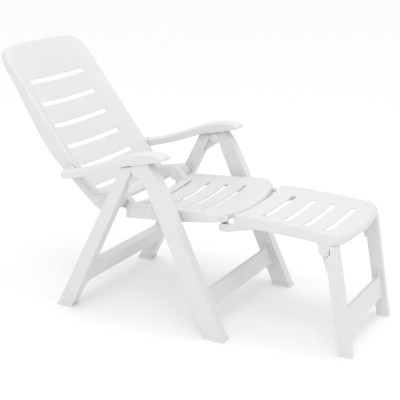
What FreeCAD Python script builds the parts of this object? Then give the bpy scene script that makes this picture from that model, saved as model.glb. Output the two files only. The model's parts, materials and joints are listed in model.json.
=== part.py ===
"""Folding plastic sun lounger: an armchair on two pinned leg frames, with a hook-on footrest.

Everything is laid out in a workshop frame whose X = 0 is the back corner of the rear feet,
Y = 0 is the mirror plane and Z = 0 is the ground.  Each sub-part is then moved back by
frame_shift, so that the finished model stands centred over its own origin.
The back is laid out in its own frame: origin on the seat hinge, X down the panel and Z out
of its front face.  It is then leaned back by back_lean.
"""
import FreeCAD, Part
import math
import os
import Sketcher
from FreeCAD import Placement, Rotation, Vector

SIZES = [
    ("frame_shift", 418.6, "workshop X of the model origin"),
    ("frame_outer", 295.0, "outer face of the leg frames, from the mirror plane"),
    ("frame_inner", 257.0, "inner face of the leg frames"),
    ("wall", 4.0, "moulded wall"),
    ("panel", 6.0, "thickness of the seat, back and footrest panels"),
    ("play", 0.5, "gap between pieces that move on each other"),
    ("pin_fit", 0.05, "radial running clearance of a pin in its hole"),
    ("apex_x", 362.0, "pin that joins the two leg frames"),
    ("apex_z", 558.0, "height of that pin"),
    ("apex_radius", 29.0, "knuckle of the front frame"),
    ("cheek", 12.0, "thickness of each cheek of that knuckle"),
    ("hinge_x", 230.0, "seat and back hinge"),
    ("hinge_z", 413.0, "height of that hinge"),
    ("hinge_radius", 27.0, "seat and back knuckles"),
    ("knuckle_inner", 172.0, "inner face of the seat knuckles"),
    ("knuckle_split", 204.0, "where seat and back knuckles meet"),
    ("pin_radius", 8.0, "hinge and apex pins"),
    ("pin_head", 13.0, "radius of a pin's head"),
    ("head_thick", 3.0, "thickness of a pin's head"),
    ("rear_foot_depth", 60.0, "rear leg at the ground, front to back"),
    ("rear_top_back", 292.0, "back edge of the rear leg at its top"),
    ("rear_top_front", 338.0, "front edge of the rear leg at its top"),
    ("rear_top", 556.0, "height of the rear leg's top"),
    ("front_foot_back", 617.0, "back edge of the front leg at the ground"),
    ("front_foot_front", 686.0, "front edge of the front leg at the ground"),
    ("front_top_back", 389.0, "back edge of the front leg below the knuckle"),
    ("front_top", 503.0, "height of that point"),
    ("shoulder_x", 464.0, "front leg where its head starts to curve back"),
    ("shoulder_z", 483.0, "height of that point"),
    ("head_x", 398.0, "front corner of the front leg's head"),
    ("head_z", 584.0, "height of that corner"),
    ("foot_cap", 12.0, "height of a foot cap"),
    ("cap_flare", 3.0, "how far a foot cap stands out from its leg"),
    ("spigot", 18.0, "height of a cap's spigot inside the leg"),
    ("leg_wall", 5.0, "wall of the hollow legs"),
    ("rear_hollow", 378.0, "top of the hollow in the rear legs"),
    ("front_hollow", 372.0, "top of the hollow in the front legs"),
    ("rear_rung_low", 96.0, "rear cross rail, lower edge along the leg"),
    ("rear_rung_high", 168.0, "rear cross rail, upper edge along the leg"),
    ("rear_rung_depth", 42.0, "rear cross rail, front to back"),
    ("front_rung_low", 92.0, "front cross rail, lower edge along the leg"),
    ("front_rung_high", 145.0, "front cross rail, upper edge along the leg"),
    ("front_rung_depth", 13.0, "front cross rail, front to back"),
    ("rung_wall", 4.0, "wall of the cross rails"),
    ("gusset", 34.0, "flare where a cross rail runs into a leg"),
    ("gusset_thick", 6.0, "thickness of that flare"),
    ("latch_x", 372.0, "peg under the armrest, on the front leg's head"),
    ("latch_z", 589.0, "height of that peg"),
    ("latch_radius", 7.0, "radius of that peg"),
    ("peg_x", 468.0, "peg that carries the seat"),
    ("peg_z", 392.0, "height of that peg"),
    ("peg_radius", 9.0, "radius of that peg"),
    ("seat_half", 235.0, "half width of the seat"),
    ("seat_back", 262.0, "back edge of the seat"),
    ("seat_nose", 662.0, "middle of the seat's curved front edge"),
    ("seat_bulge", 44.0, "how far the front edge curves out"),
    ("seat_rim_rear", 404.0, "height of the seat rim at the back"),
    ("seat_rim_front", 426.0, "height of the seat rim at the front"),
    ("seat_dish", 26.0, "depth of the dish in the middle"),
    ("seat_wall_low", 359.0, "lower edge of the seat's side wall at the back"),
    ("seat_front_low", 392.0, "lower edge of the seat's side wall at the front"),
    ("seat_slot_first", 306.0, "first slot of the seat"),
    ("seat_slot_pitch", 76.7, "from one slot to the next"),
    ("seat_slot_wide", 15.0, "width of the slots in the seat"),
    ("back_lean", 37.8, "lean of the back panel from upright"),
    ("back_half", 238.0, "half width of the back"),
    ("back_crest", 692.0, "crest of the back, from the hinge"),
    ("back_bottom", 8.0, "lower edge of the back panel, from the hinge"),
    ("back_rim", 70.0, "front rim of the back behind the hinge axis"),
    ("back_dish", 44.0, "depth of the dish in the back"),
    ("back_deep", 130.0, "back edge of the side wall at its deepest"),
    ("back_corner", 66.0, "radius of the upper corners"),
    ("back_slot_first", 542.0, "top slot of the back, from the hinge"),
    ("back_slot_pitch", 90.0, "from one slot to the next"),
    ("back_slot_wide", 18.0, "width of the slots in the back"),
    ("slot_half", 165.0, "half length of the slots in seat and back"),
    ("arm_outer", 300.0, "outer face of the armrest"),
    ("arm_inner", 241.0, "inner face of the armrest"),
    ("arm_wall", 3.5, "wall of the armrest"),
    ("arm_back", 38.0, "back end of the armrest"),
    ("arm_nose", 461.0, "front end of the armrest"),
    ("arm_back_corner", 14.0, "radius of its back corner, from above"),
    ("arm_nose_corner", 8.0, "radius of its front corner, from above"),
    ("arm_pin_x", 54.0, "pin that joins armrest and back"),
    ("arm_pin_z", 508.0, "height of that pin"),
    ("arm_pin_radius", 7.0, "radius of that pin"),
    ("rest_half", 199.0, "half width of the footrest"),
    ("rest_back", 668.0, "back edge of the footrest panel"),
    ("rest_nose", 1058.0, "middle of its curved front edge"),
    ("rest_bulge", 26.0, "how far that edge curves out"),
    ("rest_rim", 424.0, "height of its rim at the back"),
    ("rest_front_rim", 409.0, "height of its rim at the front"),
    ("rest_dish", 27.0, "depth of its dish"),
    ("rest_wall_low", 382.0, "lower edge of its side wall"),
    ("rest_slot_first", 748.0, "first slot of the footrest"),
    ("rest_slot_pitch", 74.5, "from one slot to the next"),
    ("rest_slot_wide", 20.0, "width of its slots"),
    ("rest_slot_half", 130.0, "half length of its slots"),
    ("rest_arm_tip", 616.0, "tip of the arms that reach under the seat"),
    ("rest_arm_low", 358.0, "lower edge of those arms"),
    ("rest_arm_high", 384.0, "upper edge of those arms"),
    ("rest_arm_inner", 180.0, "inner face of those arms"),
    ("hook_x", 632.0, "bar under the seat that the footrest hooks on"),
    ("hook_z", 371.0, "height of that bar"),
    ("hook_radius", 6.0, "radius of that bar"),
    ("rest_pivot_x", 992.0, "pin of the folding footrest legs"),
    ("rest_pivot_z", 352.0, "height of that pin"),
    ("rest_lug_radius", 20.0, "lug of the footrest round that pin"),
    ("rest_pin_radius", 6.0, "radius of that pin"),
    ("rest_foot_back", 1059.0, "back edge of a footrest leg at the ground"),
    ("rest_foot_front", 1102.0, "front edge of a footrest leg at the ground"),
    ("rest_leg_inner", 178.0, "inner face of a footrest leg"),
    ("rest_leg_split", 188.0, "where leg and lug overlap each other"),
    ("rest_rung_low", 78.0, "footrest cross rail, lower edge"),
    ("rest_rung_high", 150.0, "footrest cross rail, upper edge"),
]

doc = FreeCAD.newDocument("sun_lounger")
sheet = doc.addObject("Spreadsheet::Sheet", "sizes")
for row, (alias, number, meaning) in enumerate(SIZES, start=1):
    sheet.set(f"A{row}", meaning)
    sheet.set(f"B{row}", str(number))
    sheet.setAlias(f"B{row}", alias)
doc.recompute()

SIDES = (("left", 1), ("right", -1))
REACH = 900.0
FULL_TURN = 2 * math.pi
TO_XZ = Rotation(Vector(1, 0, 0), 90)
ALONG_Y = Rotation(Vector(1, 0, 0), -90)
ALONG_X = Rotation(Vector(0, 1, 0), 90)
finished = []


def name_for(text):
    """A document name that no other object has taken yet."""
    taken = [item.Name for item in doc.Objects]
    count = sum(1 for item in taken if item.rsplit("_", 1)[0] == text)
    return f"{text}_{count}"


def corner_sketch(text, corners):
    """A closed outline whose every corner is held by two expressions, (across, up)."""
    outline = doc.addObject("Sketcher::SketchObject", name_for(text))
    count = len(corners)
    start = [Vector(math.cos(FULL_TURN * k / count), math.sin(FULL_TURN * k / count), 0) * 10
             for k in range(count)]
    for k in range(count):
        outline.addGeometry(Part.LineSegment(start[k], start[(k + 1) % count]))
    for k in range(count):
        outline.addConstraint(Sketcher.Constraint("Coincident", k, 2, (k + 1) % count, 1))
    for k, corner in enumerate(corners):
        for kind, held in zip(("DistanceX", "DistanceY"), corner):
            number = outline.addConstraint(Sketcher.Constraint(kind, -1, 1, k, 1, 1.0))
            outline.setExpression(f"Constraints[{number}]", with_sheet(held))
    return outline


def with_sheet(text):
    """Write an expression's plain aliases as cells of the sheet."""
    words = text.replace("(", "( ").replace(")", " )").split()
    aliases = {entry[0] for entry in SIZES}
    return " ".join(f"sizes.{word}" if word in aliases else word for word in words)


def bind(target, **held):
    """Bind properties, with __ for the dots in their names, to expressions."""
    for key, text in held.items():
        target.setExpression(key.replace("__", "."), with_sheet(text))
    return target


def slab(text, corners, start, end):
    """A side outline, (x, z), made solid between the planes Y = start and Y = end."""
    outline = corner_sketch(text + "_outline", corners)
    outline.Placement = Placement(Vector(), TO_XZ)
    bind(outline, Placement__Base__y=start)
    solid = doc.addObject("Part::Extrusion", name_for(text))
    solid.Base = outline
    solid.DirMode = "Custom"
    solid.Dir = Vector(0, 1, 0)
    solid.Solid = True
    return bind(solid, LengthFwd=f"( {end} ) - ( {start} )")


def rod(text, x, z, radius, start, end):
    """A cylinder along Y, centred on (x, z), between Y = start and Y = end."""
    solid = doc.addObject("Part::Cylinder", name_for(text))
    solid.Placement = Placement(Vector(), ALONG_Y)
    return bind(solid, Radius=radius, Height=f"( {end} ) - ( {start} )",
                Placement__Base__x=x, Placement__Base__y=start, Placement__Base__z=z)


def long_rod(text, z, radius, tilt="0 deg"):
    """A long cylinder along X at height z, that dishes or rounds a panel."""
    solid = doc.addObject("Part::Cylinder", name_for(text))
    solid.Placement = Placement(Vector(-REACH, 0, 0), ALONG_X)
    solid.Height = 3 * REACH
    return bind(solid, Radius=radius, Placement__Base__z=z, Placement__Rotation__Angle=f"90 deg + {tilt}")


def post(text, x, y, radius, low, high):
    """A cylinder along Z, centred on (x, y)."""
    solid = doc.addObject("Part::Cylinder", name_for(text))
    return bind(solid, Radius=radius, Height=f"( {high} ) - ( {low} )",
                Placement__Base__x=x, Placement__Base__y=y, Placement__Base__z=low)


def block(text, x, y, z):
    """A box between three pairs of expressions."""
    solid = doc.addObject("Part::Box", name_for(text))
    return bind(solid, Length=f"( {x[1]} ) - ( {x[0]} )", Width=f"( {y[1]} ) - ( {y[0]} )",
                Height=f"( {z[1]} ) - ( {z[0]} )", Placement__Base__x=x[0],
                Placement__Base__y=y[0], Placement__Base__z=z[0])


def join(text, pieces):
    """Fuse pieces into one solid."""
    solid = doc.addObject("Part::MultiFuse", name_for(text))
    solid.Shapes = pieces
    solid.Refine = True
    return solid


def overlap(text, pieces):
    """Keep what all the pieces share."""
    solid = doc.addObject("Part::MultiCommon", name_for(text))
    solid.Shapes = pieces
    return solid


def remove(text, base, pieces):
    """Cut pieces out of a base."""
    tool = pieces[0] if len(pieces) == 1 else join(text + "_tools", pieces)
    solid = doc.addObject("Part::Cut", name_for(text))
    solid.Base = base
    solid.Tool = tool
    return solid


def mirrored(text, piece):
    """The same piece on the other side of the mirror plane."""
    solid = doc.addObject("Part::Mirroring", name_for(text))
    solid.Source = piece
    solid.Normal = Vector(0, 1, 0)
    return solid


def both_sides(text, piece):
    """A piece and its mirror image."""
    return [piece, mirrored(text + "_mirror", piece)]


def finish_part(label, shape_source):
    """Give a sub-part its label and its place in the finished model."""
    holder = doc.addObject("Part::Compound", name_for(label))
    holder.Links = [shape_source]
    holder.Label = label
    bind(holder, Placement__Base__x="- frame_shift")
    finished.append(holder)


def side_pair(label, piece):
    """Two equal sub-parts, the second mirrored to the other side."""
    finish_part(label + "_left", piece)
    finish_part(label + "_right", mirrored(label + "_mirror", piece))


def slanted(foot, head, foot_z, head_z, height):
    """An expression for the place, at a height, on a straight edge from foot to head."""
    return f"{foot} + ( {head} - {foot} ) * ( {height} - {foot_z} ) / ( {head_z} - {foot_z} )"


def rear_back(height):
    """Back edge of the rear leg."""
    return slanted("0", "rear_top_back", "0", "rear_top", height)


def rear_front(height):
    """Front edge of the rear leg."""
    return slanted("rear_foot_depth", "rear_top_front", "0", "rear_top", height)


def front_back(height):
    """Back edge of the front leg."""
    return slanted("front_foot_back", "front_top_back", "0", "front_top", height)


def front_front(height):
    """Front edge of the front leg."""
    return slanted("front_foot_front", "shoulder_x", "0", "shoulder_z", height)


def rest_back_edge(height):
    """Back edge of a footrest leg."""
    return slanted("rest_foot_back", "( rest_pivot_x + 6 )", "0", "( rest_pivot_z - 14 )", height)


def rest_front_edge(height):
    """Front edge of a footrest leg."""
    return slanted("rest_foot_front", "( rest_pivot_x + 46 )", "0", "( rest_pivot_z + 20 )", height)


def rung(text, front, low, high, depth, inner):
    """A hollow cross rail between two legs, open below, with a flared gusset at each end."""
    outer_corners = [
        (f"{front(low)} - {depth}", low), (front(low), low),
        (front(high), high), (f"{front(high)} - {depth}", high)]
    wall = "rung_wall"
    hollow_low = f"{low} - 10"
    hollow_high = f"{high} - {wall}"
    hollow_corners = [
        (f"{front(hollow_low)} - {depth} + {wall}", hollow_low),
        (f"{front(hollow_low)} - {wall}", hollow_low),
        (f"{front(hollow_high)} - {wall}", hollow_high),
        (f"{front(hollow_high)} - {depth} + {wall}", hollow_high)]
    rail = slab(text + "_rail", outer_corners, f"- {inner}", inner)
    hollow = slab(text + "_hollow", hollow_corners, f"10 - {inner}", f"{inner} - 10")
    web = []
    for side in (-1, 1):
        web.append(gusset(text, front, depth, low, high, inner, side))
    return join(text, [remove(text + "_open", rail, [hollow])] + web)


def gusset(text, front, depth, low, high, inner, side):
    """A web, flush with the rail's front face, that widens it where it meets the leg."""
    tall_low = f"{low} - gusset"
    tall_high = f"{high} + gusset"
    tall = [
        (f"{front(tall_low)} - gusset_thick", tall_low), (front(tall_low), tall_low),
        (front(tall_high), tall_high), (f"{front(tall_high)} - gusset_thick", tall_high)]
    start, end = (f"{inner} - gusset", inner) if side > 0 else (f"- {inner}", f"gusset - {inner}")
    sheet_web = slab(text + "_web", tall, start, end)
    rounders = [
        flare_cutter(text, front, depth, low, inner, side, -1),
        flare_cutter(text, front, depth, high, inner, side, 1)]
    return remove(text + "_gusset", sheet_web, rounders)


def flare_cutter(text, front, depth, edge, inner, side, way):
    """A cylinder, square to the leg's edge, that rounds a gusset."""
    place = f"{edge} + gusset" if way > 0 else f"{edge} - gusset"
    sideways = f"{inner} - gusset" if side > 0 else f"gusset - {inner}"
    solid = doc.addObject("Part::Cylinder", name_for(text + "_flare"))
    solid.Placement = Placement(Vector(), ALONG_X)
    return bind(solid, Radius="gusset", Height=f"{depth} * 4",
                Placement__Base__x=f"{front(place)} - {depth} * 2.5",
                Placement__Base__y=sideways, Placement__Base__z=place)


def leg_hollow(text, back, front, top, gap):
    """The inside of a leg, open at the foot and closed at its top, a gap inside the faces."""
    corners = [
        (f"{back('foot_cap')} + ( {gap} )", "foot_cap"), (f"{front('foot_cap')} - ( {gap} )", "foot_cap"),
        (f"{front(top)} - ( {gap} )", top), (f"{back(top)} + ( {gap} )", top)]
    return slab(text, corners, f"frame_inner + ( {gap} )", f"frame_outer - ( {gap} )")


# Rear frame: two legs, a hollow cross rail, a tongue at the apex and a boss at the hinge.

def rear_leg():
    corners = [
        (rear_back("foot_cap"), "foot_cap"), (rear_front("foot_cap"), "foot_cap"),
        ("rear_top_front", "rear_top"), ("rear_top_front + 2", "rear_top + 11"),
        ("rear_top_back", "rear_top")]
    leg = slab("rear_side", corners, "frame_inner", "frame_outer")
    room = rod("rear_room", "apex_x", "apex_z", "apex_radius + play * 2", "frame_inner - 1",
               "frame_outer + 1")
    tongue_corners = [
        (rear_back("rear_top - 70"), "rear_top - 70"), (rear_front("rear_top - 70"), "rear_top - 70"),
        ("apex_x + 14", "apex_z - 18"), ("apex_x - 22", "apex_z + 10")]
    tongue_span = ("frame_inner + cheek + play", "frame_outer - cheek - play")
    tongue = slab("rear_tongue", tongue_corners, *tongue_span)
    ear = rod("rear_ear", "apex_x", "apex_z", "apex_radius - 3", *tongue_span)
    boss = rod("rear_boss", "hinge_x", "hinge_z", "pin_head + 5", "back_half + play", "frame_inner")
    seat_of_pin = rod("rear_apex_hole", "apex_x", "apex_z", "pin_radius", *tongue_span)
    hinge_hole = rod("rear_hinge_hole", "hinge_x", "hinge_z", "pin_radius", "back_half", "frame_outer - 6")
    socket = leg_hollow("rear_hollow", rear_back, rear_front, "rear_hollow", "leg_wall")
    body = join("rear_leg_body", [remove("rear_leg_top", leg, [room]), tongue, ear, boss])
    return remove("rear_leg_one", body, [seat_of_pin, hinge_hole, socket])


def rear_frame():
    rail = rung("rear_rung", rear_front, "rear_rung_low", "rear_rung_high",
                "rear_rung_depth", "frame_inner")
    finish_part("rear_leg_frame", join("rear_frame", both_sides("rear_leg", rear_leg()) + [rail]))


def front_leg():
    corners = [
        (front_back("foot_cap"), "foot_cap"), (front_front("foot_cap"), "foot_cap"),
        ("shoulder_x", "shoulder_z"), ("shoulder_x - 32", "shoulder_z + 56"),
        ("head_x", "head_z"), ("latch_x - 12", "latch_z - 4"), ("front_top_back", "front_top")]
    leg = slab("front_side", corners, "frame_inner", "frame_outer")
    knuckle = rod("front_knuckle", "apex_x", "apex_z", "apex_radius", "frame_inner", "frame_outer")
    latch = rod("front_latch", "latch_x", "latch_z", "latch_radius", "frame_inner", "frame_outer")
    slot_span = ("frame_inner + cheek", "frame_outer - cheek")
    ear_slot = rod("front_slot", "apex_x", "apex_z", "apex_radius - 1.5", *slot_span)
    neck_slot = slab("front_neck_slot", [
        ("apex_x - 38", "apex_z - 28"), ("apex_x - 8", "apex_z - 56"), ("apex_x + 24", "apex_z - 50"),
        ("apex_x + 36", "apex_z - 28"), ("apex_x + 10", "apex_z"), ("apex_x - 8", "apex_z + 8"),
        ("apex_x - 31", "apex_z + 6")], *slot_span)
    apex_hole = rod("front_apex_hole", "apex_x", "apex_z", "pin_radius + pin_fit", "frame_inner - 1",
                    "frame_outer - 3")
    peg_hole = rod("front_peg_hole", "peg_x", "peg_z", "peg_radius - 3", "frame_inner - 1",
                   "frame_inner + 16")
    socket = leg_hollow("front_hollow", front_back, front_front, "front_hollow", "leg_wall")
    body = join("front_leg_body", [leg, knuckle, latch])
    return remove("front_leg_one", body, [ear_slot, neck_slot, apex_hole, peg_hole, socket])


def front_frame():
    rail = rung("front_rung", front_front_inset, "front_rung_low", "front_rung_high",
                "front_rung_depth", "frame_inner")
    finish_part("front_leg_frame", join("front_frame", both_sides("front_leg", front_leg()) + [rail]))


def front_front_inset(height):
    """Front face of the front cross rail, set back inside the leg's depth."""
    return f"{front_front(height)} - 30"


def foot_cap(label, back, front):
    """A flared sole with a spigot that is pushed up into the leg."""
    sole_corners = [
        (f"{back('0')} - cap_flare + 2", "0"), (f"{front('0')} + cap_flare", "0"),
        (f"{front('foot_cap')} + cap_flare", "foot_cap"), (f"{back('foot_cap')} - cap_flare", "foot_cap")]
    sole = slab(label + "_sole", sole_corners, "frame_inner - cap_flare", "frame_outer + cap_flare")
    plug = leg_hollow(label + "_plug", back, front, "foot_cap + spigot", "leg_wall + play / 5")
    side_pair(label, join(label + "_one", [sole, plug]))


def apex_pins():
    """A headed pin that holds tongue and cheeks together, pushed in from the inside."""
    shank = rod("apex_shank", "apex_x", "apex_z", "pin_radius", "frame_inner", "frame_outer - 4")
    head = rod("apex_head", "apex_x", "apex_z", "pin_head", "frame_inner - head_thick", "frame_inner")
    side_pair("apex_pin", join("apex_pin_one", [shank, head]))


def hinge_pins():
    """The pin that carries the seat and the back on the rear frame."""
    shank = rod("hinge_shank", "hinge_x", "hinge_z", "pin_radius", "knuckle_inner", "frame_outer - 6")
    head = rod("hinge_head", "hinge_x", "hinge_z", "pin_head", "knuckle_inner - head_thick - play",
               "knuckle_inner - play")
    collar = rod("hinge_collar", "hinge_x", "hinge_z", "pin_radius", "knuckle_inner - play", "knuckle_inner")
    side_pair("back_hinge_pin", join("hinge_pin_one", [shank, head, collar]))


def seat_pegs():
    """A flanged peg on the inner face of each front leg."""
    stem = rod("peg_stem", "peg_x", "peg_z", "peg_radius - 3", "frame_inner", "frame_inner + 16")
    drum = rod("peg_drum", "peg_x", "peg_z", "peg_radius", "seat_half - 14", "frame_inner")
    side_pair("seat_peg", join("seat_peg_one", [stem, drum]))


def dished_tray(text, outer, inner, half, rim_z, dish, tilt="0 deg", fade=None):
    """An open-bottomed tray with a dished top: a block less its dish and less its inside.

    fade holds two side outlines, of the dish and of its underside, where its depth changes.
    """
    bowl = f"( ( {half} - 5 ) ^ 2 + {dish} ^ 2 ) / ( 2 * {dish} )"
    outside = slab(text + "_outside", outer, f"- {half}", half)
    inside = slab(text + "_inside", inner, f"wall - {half}", f"{half} - wall")
    hollow_top = long_rod(text + "_underside", f"{rim_z} - {dish} + {bowl}", f"{bowl} + panel", tilt)
    top = long_rod(text + "_dish", f"{rim_z} - {dish} + {bowl}", bowl, tilt)
    if fade:
        top = overlap(text + "_faded", [top, slab(text + "_fade", fade[0], f"- {half}", half)])
        hollow_top = overlap(text + "_faded_under", [
            hollow_top, slab(text + "_fade_under", fade[1], f"- {half}", half)])
    cavity = remove(text + "_cavity", inside, [hollow_top])
    return remove(text + "_tray", outside, [cavity, top])


def slot_tools(text, places, half, wide, low, high):
    """Slots with round ends across a panel."""
    tools = []
    for x in places:
        tools.append(block(text, (f"{x} - {wide} / 2", f"{x} + {wide} / 2"),
                           (f"{wide} / 2 - {half}", f"{half} - {wide} / 2"), (low, high)))
        for side in ("", "-"):
            tools.append(post(text + "_end", x, f"{side} ( {half} - {wide} / 2 )", f"{wide} / 2", low, high))
    return tools


def bulged(text, nose, bulge, half, low, high):
    """A tall cylinder whose front is the curved front edge of a panel."""
    radius = f"( {half} ^ 2 + {bulge} ^ 2 ) / ( 2 * {bulge} )"
    return post(text, f"{nose} - {radius}", "0", radius, low, high)


def seat():
    outer = [
        ("seat_back", "seat_wall_low"), ("seat_back + 135", "seat_wall_low + 12"),
        ("seat_back + 303", "seat_front_low"), ("seat_nose + 1", "seat_front_low"),
        ("seat_nose + 1", "seat_front_low + 8"), ("seat_nose - 16", "seat_rim_front - 10"),
        ("seat_nose - 52", "seat_rim_front"), ("seat_back + 305", "seat_rim_front"),
        ("seat_back", "seat_rim_rear")]
    inner = [
        ("seat_back + wall", "seat_wall_low - 40"), ("seat_nose - panel", "seat_wall_low - 40"),
        ("seat_nose - panel", "seat_front_low + 2"), ("seat_nose - 22", "seat_rim_front - 17"),
        ("seat_nose - 54", "seat_rim_front - panel"), ("seat_back + 303", "seat_rim_front - panel"),
        ("seat_back + wall", "seat_rim_rear - panel")]
    tilt = "- atan( ( seat_rim_front - seat_rim_rear ) / 305 )"
    rim_at_reach = f"seat_rim_rear - ( seat_back + {REACH} ) * ( seat_rim_front - seat_rim_rear ) / 305"
    tray = dished_tray("seat", outer, inner, "seat_half", rim_at_reach, "seat_dish", tilt)
    nose = bulged("seat_front", "seat_nose", "seat_bulge", "seat_half", "0", "600")
    inner_nose = bulged("seat_apron", "seat_nose - wall", "seat_bulge", "seat_half", "0", "600")
    apron_room = slab("seat_apron_room", [
        ("seat_back + 250", "seat_front_low - 20"), ("seat_nose + 20", "seat_front_low - 20"),
        ("seat_nose + 20", "seat_front_low + 2"), ("seat_back + 250", "seat_front_low + 2")],
        "10 - seat_half", "seat_half - 10")
    shaped = overlap("seat_shape", [tray, nose])
    arm = slab("seat_arm", [
        ("hinge_x", "hinge_z - hinge_radius"), ("seat_back + 24", "seat_wall_low"),
        ("seat_back + 24", "seat_rim_rear"), ("hinge_x + 6", "hinge_z + hinge_radius - 2")],
        "knuckle_inner", "knuckle_split - play")
    knuckle = rod("seat_knuckle", "hinge_x", "hinge_z", "hinge_radius", "knuckle_inner",
                  "knuckle_split - play")
    hole = rod("seat_hole", "hinge_x", "hinge_z", "pin_radius + pin_fit", "knuckle_inner - 1",
               "knuckle_split")
    lug = slab("seat_lug", [
        ("hook_x - 12", "hook_z - 11"), ("hook_x + 11", "hook_z - 11"),
        ("hook_x + 5", "seat_rim_front - 14"), ("hook_x - 24", "seat_rim_front - 14")],
        "rest_arm_inner - 12", "rest_arm_inner - play * 2")
    saddle_boss = slab("seat_saddle_boss", [
        ("peg_x - 26", "peg_z - 12"), ("peg_x + 26", "peg_z - 8"),
        ("peg_x + 26", "peg_z + 22"), ("peg_x - 26", "peg_z + 20")],
        "seat_half - 16", "seat_half")
    saddle = rod("seat_saddle", "peg_x", "peg_z", "peg_radius + play / 2", "seat_half - 17", "seat_half + 1")
    mouth = slab("seat_mouth", [
        ("peg_x - 36", "peg_z - 31"), ("peg_x + 4", "peg_z - 31"),
        ("peg_x + 8", "peg_z - 4"), ("peg_x - 9", "peg_z + 5")],
        "seat_half - 17", "seat_half + 1")
    hook_hole = rod("seat_hook_hole", "hook_x", "hook_z", "hook_radius", "rest_arm_inner - 13",
                    "rest_arm_inner")
    places = [f"seat_slot_first + {k} * seat_slot_pitch" for k in range(4)]
    slots = slot_tools("seat_slot", places, "slot_half", "seat_slot_wide", "seat_wall_low - 9", "460")
    one_side = [arm, knuckle, lug, saddle_boss]
    added = []
    for piece in one_side:
        added += both_sides(piece.Name, piece)
    solid = join("seat_body", [shaped] + added)
    cuts = []
    for piece in (hole, saddle, mouth, hook_hole):
        cuts += both_sides(piece.Name, piece)
    finish_part("seat_shell", remove("seat", solid, cuts + slots))


def hook_bars():
    """A short bar each side, pressed into the seat's lug, that the footrest arm hooks over."""
    bar = rod("hook_bar", "hook_x", "hook_z", "hook_radius", "rest_arm_inner - 12", "rest_half - 1")
    side_pair("footrest_hook_bar", bar)


def leaned(text, solid):
    """Lean a piece that was laid out in the back's own frame."""
    holder = doc.addObject("Part::Compound", name_for(text))
    holder.Links = [solid]
    holder.Placement = Placement(Vector(), Rotation(Vector(0, 1, 0), 1))
    return bind(holder, Placement__Base__x="hinge_x", Placement__Base__z="hinge_z",
                Placement__Rotation__Angle="( 90 - back_lean ) * 1 deg")


def back():
    rim = "- back_rim"
    outer = [
        ("- back_bottom", rim), ("- back_bottom", "- back_rim - 8"),
        ("- 60", "- back_rim - 23"), ("- 158", "- back_rim - 41"), ("- 214", "- back_rim - 52"),
        ("- 273", "- back_deep"), ("- 347", "4 - back_deep"), ("- 421", "- back_rim - 50"),
        ("- 565", "- back_rim - 31"), ("- 630", "- back_rim - 25"), ("- back_crest + 6", "- back_rim - 24"),
        ("- back_crest", "- back_rim - 18"), ("- back_crest", "- back_rim - 8"),
        ("- back_crest + 6", "- back_rim - 1"), ("- back_crest + 18", rim)]
    inner = [
        ("wall - back_bottom", "- back_rim - panel"), ("wall - back_bottom", "- back_deep - 20"),
        ("- back_crest + panel", "- back_deep - 20"), ("- back_crest + panel", "- back_rim - 14"),
        ("- back_crest + 24", "- back_rim - panel")]
    fade_top = [
        ("1 - back_bottom", "0"), ("1 - back_bottom", "- back_rim - 1"), ("- 60", "- back_rim - 14"),
        ("- 158", "- back_rim - 32"), ("- 214", "- back_rim - 43"), ("- 421", "- back_rim - 41"),
        ("- 565", "- back_rim - 22"), ("- 630", "- back_rim - 13"), ("22 - back_crest", "- back_rim"),
        ("10 - back_crest", "0")]
    fade_under = [
        ("7 - back_bottom", "0"), ("7 - back_bottom", "- back_rim - 7"), ("- 60", "- back_rim - 20"),
        ("- 158", "- back_rim - 38"), ("- 214", "- back_rim - 49"), ("- 421", "- back_rim - 47"),
        ("- 565", "- back_rim - 28"), ("- 630", "- back_rim - 19"), ("22 - back_crest", "- back_rim - 7"),
        ("5 - back_crest", "0")]
    tray = dished_tray("back", outer, inner, "back_half", rim, "back_dish", fade=(fade_top, fade_under))
    square = block("back_square", ("- back_crest - 1", "back_corner - back_crest"),
                   ("back_half - back_corner", "back_half + 1"), ("- back_deep - 10", "10 - back_rim"))
    round_post = post("back_round", "back_corner - back_crest", "back_half - back_corner",
                      "back_corner", "- back_deep - 11", "11 - back_rim")
    corner_room = both_sides("back_corner", remove("back_corner_room", square, [round_post]))
    places = [f"{k} * back_slot_pitch - back_slot_first" for k in range(6)]
    slots = slot_tools("back_slot", places, "slot_half", "back_slot_wide",
                       "- back_deep - 10", "10 - back_rim")
    lug = slab("back_lug", [
        ("- 58", "- back_rim - 20"), ("- back_bottom", "- back_rim - 6"),
        ("hinge_radius - 3", "-10"), ("hinge_radius - 18", "19"), ("-24", "10"), ("- 62", "- back_rim")],
        "knuckle_split", "back_half")
    knuckle = rod("back_knuckle", "0", "0", "hinge_radius", "knuckle_split", "back_half")
    hole = rod("back_hole", "0", "0", "pin_radius + pin_fit", "knuckle_split - 1", "back_half + 1")
    up, behind = "( arm_pin_z - hinge_z )", "( hinge_x - arm_pin_x )"
    sine, cosine = "sin( back_lean * 1 deg )", "cos( back_lean * 1 deg )"
    arm_x = f"- {up} * {cosine} - {behind} * {sine}"
    arm_z = f"{up} * {sine} - {behind} * {cosine}"
    boss = rod("back_boss", arm_x, arm_z, "arm_pin_radius + 9", "back_half - 12", "back_half")
    boss_hole = rod("back_boss_hole", arm_x, arm_z, "arm_pin_radius + pin_fit", "back_half - 13",
                    "back_half + 1")
    head_room = rod("back_head_room", arm_x, arm_z, "arm_pin_radius + 3 + play", "back_half - 18",
                    "back_half - 12")
    added = []
    for piece in (lug, knuckle, boss):
        added += both_sides(piece.Name, piece)
    cuts = []
    for piece in (hole, boss_hole, head_room):
        cuts += both_sides(piece.Name, piece)
    solid = join("back_body", [remove("back_rounded", tray, corner_room + slots)] + added)
    finish_part("backrest_shell", leaned("back_leaned", remove("back", solid, cuts)))


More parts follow.
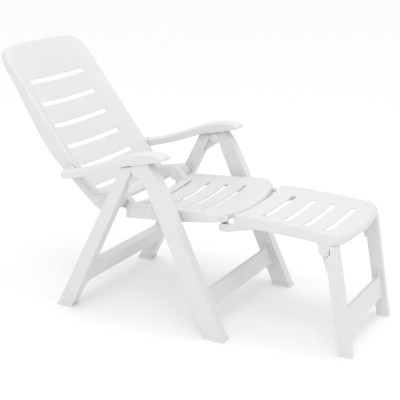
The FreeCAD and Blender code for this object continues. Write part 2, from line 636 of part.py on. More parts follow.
def arm_pins():
    """The pin through the back's side wall that carries the armrest."""
    shank = rod("arm_shank", "arm_pin_x", "arm_pin_z", "arm_pin_radius", "back_half - 12", "arm_inner + 14")
    head = rod("arm_head", "arm_pin_x", "arm_pin_z", "arm_pin_radius + 3", "back_half - 15",
               "back_half - 12")
    side_pair("armrest_pin", join("arm_pin_one", [shank, head]))


def armrest():
    outer = [
        ("arm_back", "492"), ("66", "488"), ("97", "495"), ("191", "521"), ("299", "560"), ("403", "584"),
        ("452", "596"), ("arm_nose", "599"), ("arm_nose - 2", "611"), ("447", "621"), ("414", "626"),
        ("355", "619"), ("295", "599"), ("213", "566"), ("129", "536"), ("60", "518"), ("arm_back", "515")]
    inner = [
        ("64", "440"), ("440", "440"), ("452", "606"), ("440", "615"), ("414", "620"), ("356", "613"),
        ("297", "593"), ("215", "560"), ("130", "530"), ("64", "512")]
    bar = slab("arm_bar", outer, "arm_inner", "arm_outer")
    room = slab("arm_room", inner, "arm_inner + arm_wall", "arm_outer - arm_wall")
    boss = rod("arm_boss", "arm_pin_x", "arm_pin_z", "arm_pin_radius + 6", "arm_inner", "arm_inner + 16")
    hole = rod("arm_hole", "arm_pin_x", "arm_pin_z", "arm_pin_radius + pin_fit", "arm_inner - 1",
               "arm_inner + 14")
    behind = "arm_back + arm_back_corner"
    ahead = "arm_nose - arm_nose_corner"
    corners = [
        arm_corner(("arm_back - 1", behind), behind, "arm_back_corner"),
        arm_corner((ahead, "arm_nose + 1"), ahead, "arm_nose_corner")]
    solid = remove("arm_rounded", remove("arm_channel", bar, [room]), corners)
    rib = slab("arm_rib", rack_outline(), "frame_inner + 12", "frame_inner + 20")
    side_pair("armrest", remove("arm_one", join("arm_body", [solid, boss, rib]), [hole]))


def arm_corner(span, centre, radius):
    """What is cut away outside the rounded outer corner of the armrest, seen from above."""
    across = f"arm_outer - {radius}"
    square = block("arm_square", span, (across, "arm_outer + 1"), ("400", "700"))
    return remove("arm_corner", square, [post("arm_round", centre, across, radius, "399", "701")])


def rack_outline():
    """Ratchet rib under the armrest: five shallow notches on a line through the armrest pin."""
    run_x, run_z = 318.0, 81.0
    reach = math.hypot(run_x, run_z)
    along = (run_x / reach, run_z / reach)
    lift = 10.5
    tooth = 2.5
    corners = [("arm_pin_x + 367", "arm_pin_z + 111")]
    stations = [reach + 15.0 - 9.0 * k for k in range(11)]
    for k, place in enumerate(stations):
        height = lift if k % 2 else lift - tooth
        x = place * along[0] - height * along[1]
        z = place * along[1] + height * along[0]
        corners.append((f"arm_pin_x + {x:.2f}", f"arm_pin_z + {z:.2f}"))
    corners.append(("arm_pin_x + 218", "arm_pin_z + 74"))
    return corners


def footrest():
    outer = [
        ("rest_back", "rest_wall_low"), ("rest_pivot_x - 30", "rest_wall_low - 6"),
        ("rest_nose + 1", "rest_wall_low - 8"), ("rest_nose + 1", "rest_front_rim - 20"),
        ("rest_nose - 12", "rest_front_rim - 5"), ("rest_nose - 30", "rest_front_rim"),
        ("rest_back + 100", "rest_rim"), ("rest_back", "rest_rim")]
    inner = [
        ("rest_back + wall", "rest_wall_low - 30"), ("rest_nose - panel", "rest_wall_low - 30"),
        ("rest_nose - panel", "rest_front_rim - 22"), ("rest_nose - 18", "rest_front_rim - 11"),
        ("rest_nose - 34", "rest_front_rim - panel"), ("rest_back + 100", "rest_rim - panel"),
        ("rest_back + wall", "rest_rim - panel")]
    tilt = "atan( ( rest_rim - rest_front_rim ) / 330 )"
    rim_at_reach = f"rest_rim + ( rest_back + {REACH} ) * ( rest_rim - rest_front_rim ) / 330"
    tray = dished_tray("rest", outer, inner, "rest_half", rim_at_reach, "rest_dish", tilt)
    nose = bulged("rest_front", "rest_nose", "rest_bulge", "rest_half", "0", "600")
    shaped = overlap("rest_shape", [tray, nose])
    arm = slab("rest_arm", [
        ("rest_arm_tip", "rest_arm_low + 8"), ("rest_arm_tip + 7", "rest_arm_low"),
        ("hook_x + 14", "rest_arm_low"), ("rest_back + 75", "rest_wall_low"),
        ("rest_back + 80", "rest_wall_low + 6"),
        ("rest_back + 2", "rest_wall_low + 10"), ("rest_back", "rest_arm_high"),
        ("rest_arm_tip + 7", "rest_arm_high"), ("rest_arm_tip", "rest_arm_high - 8")],
        "rest_arm_inner", "rest_half")
    hook_room = rod("rest_hook_room", "hook_x", "hook_z", "hook_radius + play", "rest_arm_inner - 1",
                    "rest_half - 0.5")
    hook_mouth = slab("rest_hook_mouth", [
        ("hook_x - hook_radius - play", "rest_arm_low - 5"),
        ("hook_x + hook_radius + play", "rest_arm_low - 5"),
        ("hook_x + hook_radius + play", "hook_z"), ("hook_x - hook_radius - play", "hook_z")],
        "rest_arm_inner - 1", "rest_half - 0.5")
    lug = slab("rest_lug", [
        ("rest_pivot_x - 19", "rest_pivot_z - 4"), ("rest_pivot_x + 6", "rest_pivot_z - 14"),
        ("rest_pivot_x + 17", "rest_wall_low + 4"), ("rest_pivot_x - 38", "rest_wall_low + 4")],
        "rest_leg_split + play", "rest_half")
    disc = rod("rest_disc", "rest_pivot_x", "rest_pivot_z", "rest_lug_radius",
               "rest_leg_split + play", "rest_half")
    hole = rod("rest_hole", "rest_pivot_x", "rest_pivot_z", "rest_pin_radius + pin_fit", "rest_leg_split",
               "rest_half + 1")
    places = [f"rest_slot_first + {k} * rest_slot_pitch" for k in range(4)]
    slots = slot_tools("rest_slot", places, "rest_slot_half", "rest_slot_wide", "rest_wall_low - 24", "460")
    added = []
    for piece in (arm, lug, disc):
        added += both_sides(piece.Name, piece)
    cuts = []
    for piece in (hook_room, hook_mouth, hole):
        cuts += both_sides(piece.Name, piece)
    solid = join("rest_body", [shaped] + added)
    finish_part("footrest_panel", remove("rest", solid, cuts + slots))


def footrest_legs():
    outline = [
        (rest_back_edge("0"), "0"), ("rest_foot_front", "0"),
        (rest_front_edge("rest_pivot_z + 20"), "rest_pivot_z + 20"),
        ("rest_pivot_x + 16", "rest_pivot_z + 20"), ("rest_pivot_x + 6", "rest_pivot_z - 22")]
    leg = slab("rest_leg", outline, "rest_leg_inner", "rest_half")
    room = rod("rest_leg_room", "rest_pivot_x", "rest_pivot_z", "rest_lug_radius + play * 2",
               "rest_leg_split", "rest_half + 1")
    stop_room = block("rest_leg_stop", ("rest_pivot_x - 40", "rest_pivot_x + 18"),
                      ("rest_leg_split", "rest_half + 1"), ("rest_pivot_z - 12", "rest_pivot_z + 60"))
    eye = rod("rest_eye", "rest_pivot_x", "rest_pivot_z", "rest_lug_radius - 3",
              "rest_leg_inner", "rest_leg_split")
    neck = slab("rest_neck", [
        ("rest_pivot_x - 12", "rest_pivot_z - 13"), ("rest_pivot_x + 8", "rest_pivot_z - 70"),
        ("rest_pivot_x + 44", "rest_pivot_z - 30"), ("rest_pivot_x + 20", "rest_pivot_z + 14"),
        ("rest_pivot_x", "rest_pivot_z + 16")], "rest_leg_inner", "rest_leg_split")
    hole = rod("rest_leg_hole", "rest_pivot_x", "rest_pivot_z", "rest_pin_radius", "rest_leg_inner - 1",
               "rest_leg_split + 1")
    cut_leg = remove("rest_leg_cut", leg, [room, stop_room])
    one = remove("rest_leg_one", join("rest_leg_body", [cut_leg, eye, neck]),
                 [hole])
    rail = rung("rest_rung", rest_rung_front, "rest_rung_low", "rest_rung_high",
                "front_rung_depth", "rest_leg_inner")
    finish_part("footrest_leg_frame", join("rest_legs", both_sides("rest_legs", one) + [rail]))


def rest_rung_front(height):
    """Front face of the footrest's cross rail, set back inside the leg's depth."""
    return f"{rest_front_edge(height)} - 12"


def footrest_pins():
    """The pin that the footrest legs fold about."""
    shank = rod("rest_shank", "rest_pivot_x", "rest_pivot_z", "rest_pin_radius",
                "rest_leg_inner", "rest_half")
    side_pair("footrest_leg_pin", shank)


rear_frame()
front_frame()
foot_cap("rear_foot_cap", rear_back, rear_front)
foot_cap("front_foot_cap", front_back, front_front)
apex_pins()
hinge_pins()
seat_pegs()
seat()
hook_bars()
back()
arm_pins()
armrest()
footrest()
footrest_legs()
footrest_pins()
doc.recompute()

for item in doc.Objects:
    if "Invalid" in item.State or "Error" in item.State:
        raise RuntimeError(f"{item.Name} failed: {item.State}")
for item in finished:
    if item.Shape.isNull() or not item.Shape.isValid():
        raise RuntimeError(f"{item.Label} has no valid shape")

os.makedirs("parts", exist_ok=True)
for item in finished:
    solids = item.Shape.Solids
    print(item.Label, len(solids), round(item.Shape.Volume / 1000.0, 1), item.Shape.BoundBox)
    item.Shape.exportStep(f"parts/{item.Label}.step")
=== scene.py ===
"""Looks of the reclining sun lounger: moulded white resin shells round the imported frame."""
import json
import math

import bmesh
import bpy
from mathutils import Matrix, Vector

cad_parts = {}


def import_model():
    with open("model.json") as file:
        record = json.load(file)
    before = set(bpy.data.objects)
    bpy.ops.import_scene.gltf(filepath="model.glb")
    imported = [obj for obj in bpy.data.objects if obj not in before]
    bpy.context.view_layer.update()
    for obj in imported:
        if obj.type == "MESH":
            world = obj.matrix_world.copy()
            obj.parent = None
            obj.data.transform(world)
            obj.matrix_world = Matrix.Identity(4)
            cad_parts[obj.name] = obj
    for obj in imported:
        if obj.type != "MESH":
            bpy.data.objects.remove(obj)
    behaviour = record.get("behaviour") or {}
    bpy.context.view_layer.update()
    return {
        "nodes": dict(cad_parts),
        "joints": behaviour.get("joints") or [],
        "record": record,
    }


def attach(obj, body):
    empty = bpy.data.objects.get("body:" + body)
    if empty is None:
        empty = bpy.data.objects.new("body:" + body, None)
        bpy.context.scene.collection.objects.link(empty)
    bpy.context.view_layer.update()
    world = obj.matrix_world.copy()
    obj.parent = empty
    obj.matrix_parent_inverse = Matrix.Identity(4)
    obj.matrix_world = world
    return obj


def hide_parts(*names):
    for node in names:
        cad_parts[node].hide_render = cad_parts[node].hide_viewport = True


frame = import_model()
MM = 0.001
JOINTS = {joint["name"]: Vector(joint["pos_m"]) for joint in frame["joints"]}
HINGE = JOINTS["recline"]
# Places along X below are counted in millimetres from the back corner of the rear feet.
BACK_TOE = HINGE.x - 230 * MM


def world(x, y, z):
    """A place in the row frame from millimetres counted from the back toe."""
    return Vector((BACK_TOE + x * MM, y * MM, z * MM))


def curve(value, points):
    """A Catmull-Rom curve through (place, height) points, read at one place."""
    if value <= points[0][0]:
        return points[0][1]
    if value >= points[-1][0]:
        return points[-1][1]
    k = max(i for i in range(len(points) - 1) if points[i][0] <= value)
    x0, h0 = points[k]
    x1, h1 = points[k + 1]

    def slope(i):
        if 0 < i < len(points) - 1:
            return (points[i + 1][1] - points[i - 1][1]) / (points[i + 1][0] - points[i - 1][0])
        j = min(i, len(points) - 2)
        return (points[j + 1][1] - points[j][1]) / (points[j + 1][0] - points[j][0])

    span = x1 - x0
    part = (value - x0) / span
    p2, p3 = part * part, part ** 3
    return ((2 * p3 - 3 * p2 + 1) * h0 + (p3 - 2 * p2 + part) * span * slope(k)
            + (3 * p2 - 2 * p3) * h1 + (p3 - p2) * span * slope(k + 1))


def spaced(start, end, step):
    """Places from start to end, evenly spaced, about a step apart."""
    count = max(1, round(abs(end - start) / step))
    return [start + (end - start) * k / count for k in range(count + 1)]


def merged(*lists):
    """Sorted places of several lists, without near-doubles."""
    places = sorted(place for part in lists for place in part)
    kept = [places[0]]
    for place in places[1:]:
        if place - kept[-1] > 0.7:
            kept.append(place)
    return kept


class Tray:
    """A moulded tray: a dished top inside a rounded plan outline, a rolled rim and a skirt."""

    def __init__(self, name, start, end, half, corners, top, skirt, place, slots=(), bulge=0.0,
                 bulge_from=0.0, roll=lambda a, side: 5.0, thick=4.0, step=6.0, middle=0.0,
                 extra=()):
        self.name, self.start, self.end, self.half = name, start, end, half
        self.corner_start, self.corner_end = corners
        self.top, self.skirt, self.place = top, skirt, place
        self.slots, self.bulge, self.bulge_from = slots, bulge, bulge_from
        self.roll, self.thick, self.step = roll, thick, step
        self.middle, self.extra = middle, list(extra)

    def rows(self):
        """(place along, half width, edge direction along, edge direction across) of each row."""
        rows = []
        for near_end, radius in ((False, self.corner_start), (True, self.corner_end)):
            count = max(3, round(radius / 4))
            for k in range(count + 1):
                angle = math.pi / 2 * k / count
                along = radius * (1 - math.sin(angle))
                place = self.end - along if near_end else self.start + along
                sign = 1 if near_end else -1
                rows.append((place, self.half - radius * (1 - math.cos(angle)),
                             sign * math.sin(angle), math.cos(angle)))
        low, high = self.start + self.corner_start, self.end - self.corner_end
        inner = [spaced(low, high, self.step)]
        for centre, half_long, wide in self.slots:
            clear = wide / 2 + 1.5
            inner = [[place for place in part if abs(place - centre) > clear] for part in inner]
            inner.append(spaced(centre - wide / 2, centre + wide / 2, wide / 4))
        for place in merged(*inner, self.extra):
            if low + 1 < place < high - 1:
                rows.append((place, self.half, 0.0, 1.0))
        return sorted(rows, key=lambda row: row[0])

    def columns(self):
        """Places across, as parts of the half width."""
        places = spaced(0, self.half, self.step)
        for centre, half_long, wide in self.slots[:1]:
            places = [place for place in places if abs(place - half_long + wide / 4) > wide / 2 + 1]
            places += spaced(half_long - wide / 2 - 3, half_long + 3, 3.0)
        places = merged(places)
        return ([-place / self.half for place in reversed(places[1:])]
                + [place / self.half for place in places])

    def shift(self, along, across):
        """How far the bulging front edge moves a place forward."""
        if not self.bulge or along <= self.bulge_from:
            return 0.0
        part = (along - self.bulge_from) / (self.end - self.bulge_from)
        return self.bulge * part * part * (3 - 2 * part) * (1 - (across / self.half) ** 2)

    def build(self):
        rows, columns = self.rows(), self.columns()
        mesh = bmesh.new()
        grid = []
        for along, half, dir_a, dir_y in rows:
            line = []
            for part in columns:
                inset_a = self.roll(along, dir_a) * dir_a
                inset_y = self.roll(along, dir_a) * dir_y * part
                y = half * part - inset_y
                a = along - inset_a
                line.append(self.vertex(mesh, a, y, self.top(a, y)))
            grid.append(line)
        for low, high in zip(grid, grid[1:]):
            for k in range(len(columns) - 1):
                mesh.faces.new((low[k], low[k + 1], high[k + 1], high[k]))
        edge = self.edge_loop(rows, columns)
        loops = [[grid[i][j] for i, j, _, _, _, _ in edge]]
        for k in range(1, 5):
            loops.append(self.ring(mesh, edge, math.pi / 2 * k / 4, 0.0))
        for part in (0.33, 0.66, 1.0):
            loops.append(self.ring(mesh, edge, math.pi / 2, part))
        count = len(edge)
        for inner, outer in zip(loops, loops[1:]):
            for k in range(count):
                mesh.faces.new((inner[k], inner[(k + 1) % count], outer[(k + 1) % count], outer[k]))
        self.cut_slots(mesh)
        bmesh.ops.remove_doubles(mesh, verts=mesh.verts, dist=0.2 * MM)
        mesh.normal_update()
        bmesh.ops.recalc_face_normals(mesh, faces=mesh.faces)
        probe = max(mesh.faces, key=lambda face: face.calc_area())
        up = self.place(0, 0, 1) - self.place(0, 0, 0)
        if probe.normal.dot(up) < 0:
            bmesh.ops.reverse_faces(mesh, faces=mesh.faces)
        return finish_mesh(self.name, mesh, self.thick)

    def edge_loop(self, rows, columns):
        """Grid places round the rim, in order, with the row they belong to."""
        last_row, last_column = len(rows) - 1, len(columns) - 1
        loop = [(0, j) for j in range(last_column)]
        loop += [(i, last_column) for i in range(last_row)]
        loop += [(last_row, j) for j in range(last_column, 0, -1)]
        loop += [(i, 0) for i in range(last_row, 0, -1)]
        edge = []
        for i, j in loop:
            along, half, dir_a, dir_y = rows[i]
            part = columns[j]
            on_side = j in (0, last_column)
            on_rim = on_side or i in (0, last_row)
            edge.append((i, j, along, half * part, dir_a if on_rim else 0.0,
                         dir_y * part if on_side else 0.0))
        return edge

    def ring(self, mesh, edge, angle, down):
        """One loop of the rolled rim (angle) or of the skirt below it (down, 0 to 1)."""
        loop = []
        for _, _, along, across, dir_a, dir_y in edge:
            radius = self.roll(along, dir_a)
            inner_a, inner_y = along - radius * dir_a, across - radius * dir_y
            rim = self.top(inner_a, inner_y)
            a = inner_a + radius * dir_a * math.sin(angle)
            y = inner_y + radius * dir_y * math.sin(angle)
            height = rim - radius * (1 - math.cos(angle))
            if down:
                height += (self.skirt(along, across, dir_a) - height) * down
            loop.append(self.vertex(mesh, a, y, height))
        return loop

    def vertex(self, mesh, along, across, height):
        along += self.shift(along, across)
        return mesh.verts.new(self.place(along, across + self.middle, height))

    def cut_slots(self, mesh):
        """Open each slot along grid lines, then move its edge onto round-ended outlines."""
        if not self.slots:
            return
        origin = self.place(0, self.middle, 0)
        axes = [(self.place(1, self.middle, 0) - origin).normalized(), Vector((0, 1, 0))]
        for centre, half_long, wide in self.slots:
            straight = half_long - wide / 2

            def local(point):
                gap = (point - origin) / MM
                return gap.dot(axes[0]) - centre, gap.dot(axes[1])

            def outside(a, y):
                over = max(abs(y) - straight, 0.0)
                return math.hypot(a, over) - wide / 2

            doomed = [face for face in mesh.faces
                      if outside(*local(face.calc_center_median())) < -0.2]
            edges = {edge for face in doomed for edge in face.edges}
            rim = {vert for edge in edges for vert in edge.verts
                   if any(face not in doomed for face in vert.link_faces)}
            bmesh.ops.delete(mesh, geom=doomed, context="FACES")
            for vert in rim:
                if not vert.is_valid:
                    continue
                a, y = local(vert.co)
                over = max(abs(y) - straight, 0.0)
                reach = math.hypot(a, over)
                if over > 0 and reach > 0:
                    scale = wide / 2 / reach
                    move_a, move_y = a * scale - a, math.copysign(over * scale - over, y)
                else:
                    move_a, move_y = math.copysign(wide / 2, a) - a, 0.0
                vert.co += (axes[0] * move_a + axes[1] * move_y) * MM


def finish_mesh(name, mesh, thick, bevel=1.3):
    """Turn a skin into a moulded shell with a wall and softened edges."""
    data = bpy.data.meshes.new(name)
    mesh.to_mesh(data)
    mesh.free()
    piece = bpy.data.objects.new(name, data)
    bpy.context.collection.objects.link(piece)
    if thick:
        wall = piece.modifiers.new("wall", "SOLIDIFY")
        wall.thickness = thick * MM
        wall.offset = -1
    edge = piece.modifiers.new("edge", "BEVEL")
    edge.width = bevel * MM
    edge.segments = 2
    edge.limit_method = "ANGLE"
    edge.angle_limit = math.radians(50)
    for face in data.polygons:
        face.use_smooth = True
    data.set_sharp_from_angle(angle=math.radians(50))
    return piece


def plate(name, outline, low, high, bevel=3.0):
    """A flat side plate, its outline (x, z) in millimetres, between two places along Y."""
    mesh = bmesh.new()
    faces = []
    for y in (low, high):
        faces.append([mesh.verts.new(world(x, y, z)) for x, z in outline])
    count = len(outline)
    mesh.faces.new(faces[0])
    mesh.faces.new(list(reversed(faces[1])))
    for k in range(count):
        after = (k + 1) % count
        mesh.faces.new((faces[0][k], faces[1][k], faces[1][after], faces[0][after]))
    bmesh.ops.recalc_face_normals(mesh, faces=mesh.faces)
    return finish_mesh(name, mesh, 0, bevel)


def lathe(name, centre, start, profile, count=40):
    """A round piece about a line along Y: profile holds (radius, step along Y) in millimetres."""
    mesh = bmesh.new()
    rings = []
    for radius, step in profile:
        ring = []
        for k in range(count):
            angle = 2 * math.pi * k / count
            ring.append(mesh.verts.new(world(centre[0] + radius * math.cos(angle), start + step,
                                             centre[1] + radius * math.sin(angle))))
        rings.append(ring)
    for low, high in zip(rings, rings[1:]):
        for k in range(count):
            mesh.faces.new((low[k], low[(k + 1) % count], high[(k + 1) % count], high[k]))
    mesh.faces.new(list(reversed(rings[0])))
    mesh.faces.new(rings[-1])
    bmesh.ops.recalc_face_normals(mesh, faces=mesh.faces)
    return finish_mesh(name, mesh, 0, 0.4)


def arc(centre, radius, start, end, count=16):
    """Points of an arc, angles in degrees."""
    points = []
    for k in range(count + 1):
        angle = math.radians(start + (end - start) * k / count)
        points.append((centre[0] + radius * math.cos(angle), centre[1] + radius * math.sin(angle)))
    return points


# Materials

def resin(name, colour, rough, grain, grain_size, mottling):
    """Moulded resin: a faint mottling in the colour, and a fine grain in the surface."""
    material = bpy.data.materials.new(name)
    material.use_nodes = True
    nodes, links = material.node_tree.nodes, material.node_tree.links
    shader = nodes["Principled BSDF"]
    shader.inputs["IOR"].default_value = 1.49
    place = nodes.new("ShaderNodeTexCoord")
    cloud = nodes.new("ShaderNodeTexNoise")
    cloud.inputs["Scale"].default_value = 9.0
    cloud.inputs["Detail"].default_value = 4.0
    links.new(place.outputs["Object"], cloud.inputs["Vector"])
    tint = nodes.new("ShaderNodeValToRGB")
    tint.color_ramp.elements[0].position = 0.3
    tint.color_ramp.elements[1].position = 0.7
    tint.color_ramp.elements[0].color = [part * (1 - mottling) for part in colour] + [1]
    tint.color_ramp.elements[1].color = list(colour) + [1]
    links.new(cloud.outputs["Fac"], tint.inputs["Fac"])
    links.new(tint.outputs["Color"], shader.inputs["Base Color"])
    sheen = nodes.new("ShaderNodeMapRange")
    sheen.inputs["To Min"].default_value = rough - 0.05
    sheen.inputs["To Max"].default_value = rough + 0.06
    links.new(cloud.outputs["Fac"], sheen.inputs["Value"])
    links.new(sheen.outputs["Result"], shader.inputs["Roughness"])
    speck = nodes.new("ShaderNodeTexNoise")
    speck.inputs["Scale"].default_value = grain_size
    speck.inputs["Detail"].default_value = 3.0
    links.new(place.outputs["Object"], speck.inputs["Vector"])
    bump = nodes.new("ShaderNodeBump")
    bump.inputs["Strength"].default_value = grain
    bump.inputs["Distance"].default_value = 0.0004
    links.new(speck.outputs["Fac"], bump.inputs["Height"])
    links.new(bump.outputs["Normal"], shader.inputs["Normal"])
    return material


WHITE = (0.72, 0.72, 0.715)
FRAME_RESIN = resin("frame_resin", WHITE, 0.38, 0.25, 900.0, 0.02)
PANEL_RESIN = resin("panel_resin", WHITE, 0.42, 0.45, 1300.0, 0.02)
FOOT_RESIN = resin("foot_resin", (0.73, 0.73, 0.725), 0.5, 0.3, 700.0, 0.03)
PIN_RESIN = resin("pin_resin", (0.75, 0.75, 0.745), 0.3, 0.1, 600.0, 0.01)
BY_SLOT = {"frame_resin": FRAME_RESIN, "panel_resin": PANEL_RESIN, "foot_resin": FOOT_RESIN,
           "pin_resin": PIN_RESIN}


def dress(piece, body, nodes=(), material=None, slot="panel_resin"):
    """Material, body, replaced CAD nodes and slot of one new piece."""
    piece.data.materials.append(material or BY_SLOT[slot])
    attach(piece, body)
    if nodes:
        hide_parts(*nodes)
    return piece


# Backrest: a deep dished panel, laid out up the panel from the hinge.

SIDES = (("left", 1), ("right", -1))
LEAN = math.radians(37.8)
UP_BACK = Vector((-math.sin(LEAN), 0, math.cos(LEAN)))
OUT_OF_BACK = Vector((math.cos(LEAN), 0, math.sin(LEAN)))
BACK_RIM = -70.0
BACK_DEPTH = [(8, 3), (40, 14), (95, 36), (184, 45), (272, 50), (363, 49), (454, 44), (542, 31),
              (600, 17), (650, 5), (676, 0)]
BACK_FLANK = [(100, 0.88), (160, 0.70), (172, 0.66), (202, 0.32), (229, 0.02), (240, 0.0)]
HINGE_AT = (230, 413)
ARM_PIN = (54, 508)
BACK_WALL = [(8, 10), (60, 23), (158, 41), (214, 52), (273, 59), (347, 57), (421, 50), (494, 40),
             (565, 31), (640, 26), (692, 24)]


def in_side_view(a, height):
    """A place of the back's own frame as (x, z) millimetres."""
    return (HINGE_AT[0] - math.sin(LEAN) * a + math.cos(LEAN) * height,
            HINGE_AT[1] + math.cos(LEAN) * a + math.sin(LEAN) * height)


def on_back(a, y, height):
    """A place of the back's own frame in the row frame: up the back, across, out of its front."""
    return HINGE + (UP_BACK * a + OUT_OF_BACK * height) * MM + Vector((0, y * MM, 0))


def back_top(a, y):
    """Height of the front face: a shallow bowl that climbs steeply to the rim at each side."""
    depth = curve(a, BACK_DEPTH)
    away = abs(y)
    if away < 160:
        part = 1 - 0.30 * (away / 160) ** 2
    else:
        part = curve(away, BACK_FLANK)
    return BACK_RIM - depth * max(part, 0.0)


def back_skirt(a, y, dir_a):
    return BACK_RIM - curve(a, BACK_WALL)


def backrest():
    slots = [(542 - 90 * k, 166, 18) for k in range(6)]
    tray = Tray("backrest", 8, 688, 238, (18, 66), back_top, back_skirt, on_back, slots, bulge=11,
                bulge_from=560, roll=lambda a, side: 7 + 6 * max(side, 0.0), thick=4.5)
    dress(tray.build(), "backrest", ["backrest_shell"])
    lug = [in_side_view(*place) for place in [(8, -78), (58, -92), (66, -72)]]
    turn = -math.degrees(LEAN)
    lug += arc(HINGE_AT, 27, 82 - turn, turn - 122, 24)
    for side, sign in SIDES:
        dress(plate(f"back_lug_{side}", lug, 204 * sign, 237.5 * sign), "backrest")
        boss = [(13, 0), (15, 2), (15.5, 11.5), (8, 11.9)]
        dress(lathe(f"back_boss_{side}", ARM_PIN, 226 * sign, [(r, y * sign) for r, y in boss]),
              "backrest")


# Seat

SEAT_RIM = [(262, 404), (300, 408), (433, 417), (512, 423), (565, 427), (600, 425), (640, 416),
            (664, 408)]
SEAT_LOW = [(262, 359), (397, 371), (491, 380), (565, 390), (600, 394), (627, 394), (664, 392)]


def seat_top(a, y):
    depth = 27 * min(1.0, 0.55 + 0.45 * math.sin(math.pi * min(max((a - 240) / 420, 0), 1)))
    part = max(1 - (abs(y) / 226) ** 2.2, 0.0)
    front = min(max((a - 590) / 50, 0), 1)
    return curve(a, SEAT_RIM) - depth * part * (1 - 0.55 * front)


PEG = (468, 392)
PEG_ROOM = 9.6


def seat_skirt(a, y, dir_a):
    """Lower edge of the seat's wall, arched over the peg of each front leg."""
    edge = curve(a, SEAT_LOW)
    if abs(y) < 230:
        return edge
    if abs(a - PEG[0]) < PEG_ROOM:
        return PEG[1] + math.sqrt(PEG_ROOM ** 2 - (a - PEG[0]) ** 2)
    return max(edge, PEG[1] + (a - PEG[0] + PEG_ROOM) * 1.33) if a < PEG[0] else edge


def seat():
    slots = [(306 + 76.7 * k, 168, 15) for k in range(4)]
    tray = Tray("seat", 262, 620, 235, (22, 30), seat_top, seat_skirt, world, slots, bulge=41,
                bulge_from=560, roll=lambda a, side: 5 + 9 * max(side, 0.0),
                extra=spaced(442, 480, 1.5))
    dress(tray.build(), "seat", ["seat_shell"])
    arm = [(300, 361), (300, 400), (270, 404)] + arc(HINGE_AT, 27, 72, 250, 24)
    hook = [(622, 361), (641, 361), (638, 402), (612, 402)]
    apron = [(608, 387), (630, 388), (648, 396), (648, 410), (608, 412)]
    for side, sign in SIDES:
        dress(plate(f"seat_arm_{side}", arm, 172 * sign, 203.5 * sign), "seat")
        dress(plate(f"seat_hook_{side}", hook, 168 * sign, 179 * sign), "seat")
        dress(plate(f"seat_apron_{side}", apron, 184 * sign, 199 * sign, 2.5), "seat")


# Footrest

REST_RIM = [(668, 424), (766, 425), (837, 422), (907, 418), (975, 413), (1022, 409), (1056, 402)]
REST_LOW = [(668, 380), (767, 384), (811, 383), (908, 380), (964, 376), (1004, 375), (1013, 373.2),
            (1056, 373)]
HOOK = (632, 371)
REST_PIVOT = (992, 352)


def rest_top(a, y):
    depth = 22 * min(1.0, 0.7 + 0.3 * math.sin(math.pi * min(max((a - 660) / 380, 0), 1)))
    part = max(1 - (abs(y) / 191) ** 3.4, 0.0)
    front = min(max((a - 990) / 50, 0), 1)
    return curve(a, REST_RIM) - depth * part * (1 - 0.5 * front)


def rest_skirt(a, y, dir_a):
    return curve(a, REST_LOW)


def footrest():
    slots = [(748 + 74.5 * k, 131, 20) for k in range(4)]
    tray = Tray("footrest", 668, 1036, 199, (10, 30), rest_top, rest_skirt, world, slots, bulge=20,
                bulge_from=980, roll=lambda a, side: 4.5 + 9 * max(side, 0.0))
    dress(tray.build(), "footrest", ["footrest_panel"])
    arm = [(616, 367), (618, 361), (624, 358), (646, 358), (690, 369), (743, 382), (752, 390),
           (670, 392), (666, 385), (622, 384), (616, 377)]
    bar_room = arc(HOOK, 6.6, 180, 0, 12)
    hooked = arm[:3] + [(HOOK[0] - 6.6, 358)] + bar_room + [(HOOK[0] + 6.6, 358)] + arm[3:]
    lug = [(1011, 379), (962, 379), (971, 368), (972, 352)] + arc(REST_PIVOT, 20, 190, 325, 20)
    for side, sign in SIDES:
        dress(plate(f"footrest_hook_{side}", hooked, 180 * sign, 197.3 * sign, 1.0), "footrest")
        dress(plate(f"footrest_arm_{side}", arm, 197.3 * sign, 198.7 * sign, 0.6), "footrest")
        dress(plate(f"footrest_lug_{side}", lug, 188.5 * sign, 198.4 * sign, 2.0), "footrest")
        rim = [(r, y * sign) for r, y in [(11.5, 0), (11.2, 1.0), (9, 1.0), (8.4, 0)]]
        dress(lathe(f"footrest_eye_{side}", REST_PIVOT, 198.2 * sign, rim),
              "footrest")


# Armrests

ARM_TOP = [(38, 512), (57, 515), (129, 533), (213, 562), (295, 594), (355, 613), (390, 618.5),
           (414, 620), (434, 619), (446, 616), (454, 611), (461, 606)]
ARM_LOW = [(38, 492), (66, 488), (97, 495), (191, 521), (299, 560), (403, 584), (452, 596),
           (461, 599)]


def arm_rib():
    """Ratchet rib under the armrest: shallow notches on a line through the pin."""
    reach = math.hypot(318, 81)
    along = (318 / reach, 81 / reach)
    outline = [(ARM_PIN[0] + 367, ARM_PIN[1] + 111)]
    for k in range(11):
        place, height = reach + 15 - 9 * k, 10.5 if k % 2 else 8.2
        outline.append((ARM_PIN[0] + place * along[0] - height * along[1],
                        ARM_PIN[1] + place * along[1] + height * along[0]))
    return outline + [(ARM_PIN[0] + 218, ARM_PIN[1] + 74)]


def armrests():
    def low(a, y, dir_a):
        return curve(a, ARM_LOW)

    def top(a, y):
        return curve(a, ARM_TOP) - 7.0 * (abs(y) / 29.5) ** 2.3

    for side, sign in SIDES:
        tray = Tray(f"armrest_{side}", 38, 461, 29.5, (14, 8), top, low, world, step=5.0,
                    roll=lambda a, side: 6.0, thick=3.2, middle=270.5 * sign)
        dress(tray.build(), f"armrest_{side}", [f"armrest_{side}"], slot="frame_resin")
        rib = plate(f"armrest_rib_{side}", arm_rib(), 269 * sign, 277 * sign, 0.8)
        dress(rib, f"armrest_{side}", slot="frame_resin")
        boss = [(r, y * sign) for r, y in [(12, 0.5), (12.5, 2), (12.5, 14), (11, 15.5)]]
        dress(lathe(f"armrest_boss_{side}", ARM_PIN, 241.5 * sign, boss), f"armrest_{side}",
              slot="frame_resin")


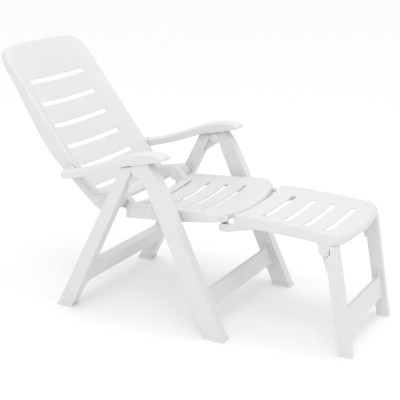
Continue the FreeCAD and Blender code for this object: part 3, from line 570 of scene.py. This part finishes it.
def soften_cad():
    """Round the edges of the leg frames and foot caps, and give every CAD piece its resin."""
    record_slot = {part["node"]: part["material_slot"] for part in frame["record"]["subparts"]}
    for name, piece in frame["nodes"].items():
        material = BY_SLOT[record_slot[name]]
        for k in range(len(piece.material_slots)):
            piece.material_slots[k].material = material
        if not piece.material_slots:
            piece.data.materials.append(material)
        if "leg_frame" in name or "foot_cap" in name:
            weld = piece.modifiers.new("weld", "WELD")
            weld.merge_threshold = 0.00002
            edge = piece.modifiers.new("edge", "BEVEL")
            edge.width = (2.4 if "leg_frame" in name else 1.5) * MM
            edge.segments = 3
            edge.limit_method = "ANGLE"
            edge.angle_limit = math.radians(35)


# Stage

def stage():
    """Pale floor, even white surroundings, and two soft lamps above."""
    bpy.ops.mesh.primitive_plane_add(size=40)
    floor = bpy.context.object
    floor.name = "floor"
    paint = bpy.data.materials.new("floor_paint")
    paint.use_nodes = True
    shader = paint.node_tree.nodes["Principled BSDF"]
    shader.inputs["Base Color"].default_value = (0.97, 0.97, 0.97, 1)
    shader.inputs["Roughness"].default_value = 0.9
    floor.data.materials.append(paint)
    sky = bpy.data.worlds.new("studio")
    bpy.context.scene.world = sky
    sky.use_nodes = True
    sky.node_tree.nodes["Background"].inputs["Color"].default_value = (1, 1, 1, 1)
    sky.node_tree.nodes["Background"].inputs["Strength"].default_value = 1.0
    lamp("key", (0.9, -1.9, 3.3), 1.7, 17.0)
    lamp("top", (0.3, 0.3, 3.3), 1.6, 9.0)


def lamp(name, place, size, power):
    """A round soft lamp, size in metres and power in watts, turned to the object."""
    light = bpy.data.lights.new(name, "AREA")
    light.shape = "DISK"
    light.size = size
    light.energy = power
    holder = bpy.data.objects.new(name, light)
    holder.location = place
    sight = Vector((0, 0, 0.3)) - holder.location
    holder.rotation_euler = sight.to_track_quat("-Z", "Y").to_euler()
    bpy.context.collection.objects.link(holder)


def camera():
    """A long lens at the front right, looking down a little, without roll."""
    eye = bpy.data.cameras.new("camera")
    eye.sensor_width = 36
    eye.lens = 84.55
    holder = bpy.data.objects.new("camera", eye)
    holder.location = (BACK_TOE + 1.9937, -2.8336, 1.3934)
    holder.rotation_euler = (math.radians(90 - 17.33), 0, math.radians(28.81))
    bpy.context.collection.objects.link(holder)
    bpy.context.scene.camera = holder


backrest()
seat()
footrest()
armrests()
soften_cad()
stage()
camera()
bpy.context.scene.view_settings.view_transform = "Standard"
